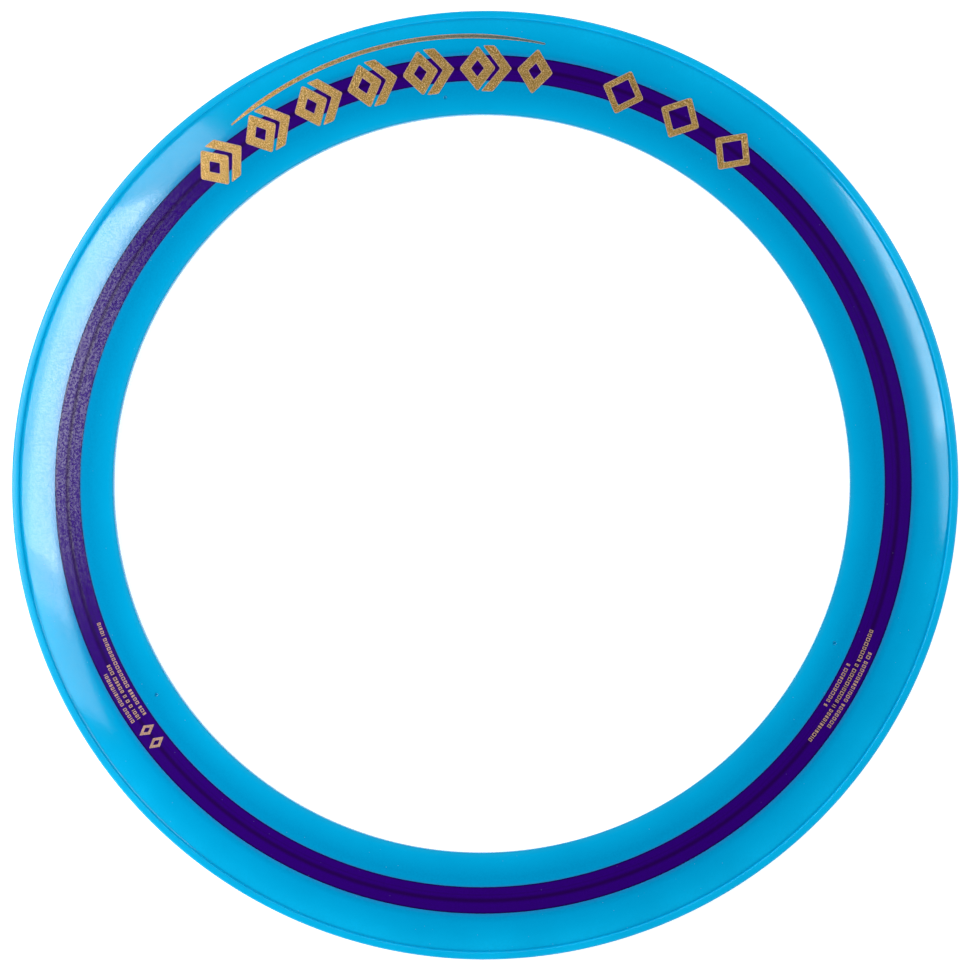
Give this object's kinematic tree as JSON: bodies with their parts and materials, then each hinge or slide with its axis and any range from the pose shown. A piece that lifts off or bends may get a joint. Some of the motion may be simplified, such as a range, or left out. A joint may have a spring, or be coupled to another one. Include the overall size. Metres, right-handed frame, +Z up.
{
  "type": "flying ring",
  "caption": "Throwing ring with a wide centre hole: a stiff band between two soft rubber edges, a raised outer rim and foil marks on top.",
  "frame": {"origin": "on the ring's axis, in the plane that it lies on", "axes": "+Z up along the axis, towards the printed side; +Y towards the middle of the row of foil marks; +X to the right of it seen from above"},
  "size_m": [0.3302, 0.3302, 0.0037],
  "materials": {
    "core": "translucent purple polycarbonate, satin moulded skin with fine concentric grooves",
    "rubber": "translucent sky blue soft rubber, fine spark-eroded grain, smooth on the rim",
    "foil": "hot-stamped gold foil, finely crinkled, with a pale edge"
  },
  "bodies": {
    "root": {"core_ring": "core", "foil_chevron_1": "foil", "foil_chevron_2": "foil", "foil_chevron_3": "foil", "foil_chevron_4": "foil", "foil_chevron_5": "foil", "foil_chevron_6": "foil", "foil_diamond_1": "foil", "foil_diamond_2": "foil", "foil_diamond_3": "foil", "foil_diamond_4": "foil", "foil_diamond_5": "foil", "foil_diamond_6": "foil", "foil_diamond_7": "foil", "foil_pinstripe": "foil", "foil_wide_diamond_1": "foil", "foil_wide_diamond_2": "foil", "foil_wide_diamond_3": "foil", "inner_rubber_edge": "rubber", "outer_rubber_edge": "rubber"}
  },
  "joints": []
}
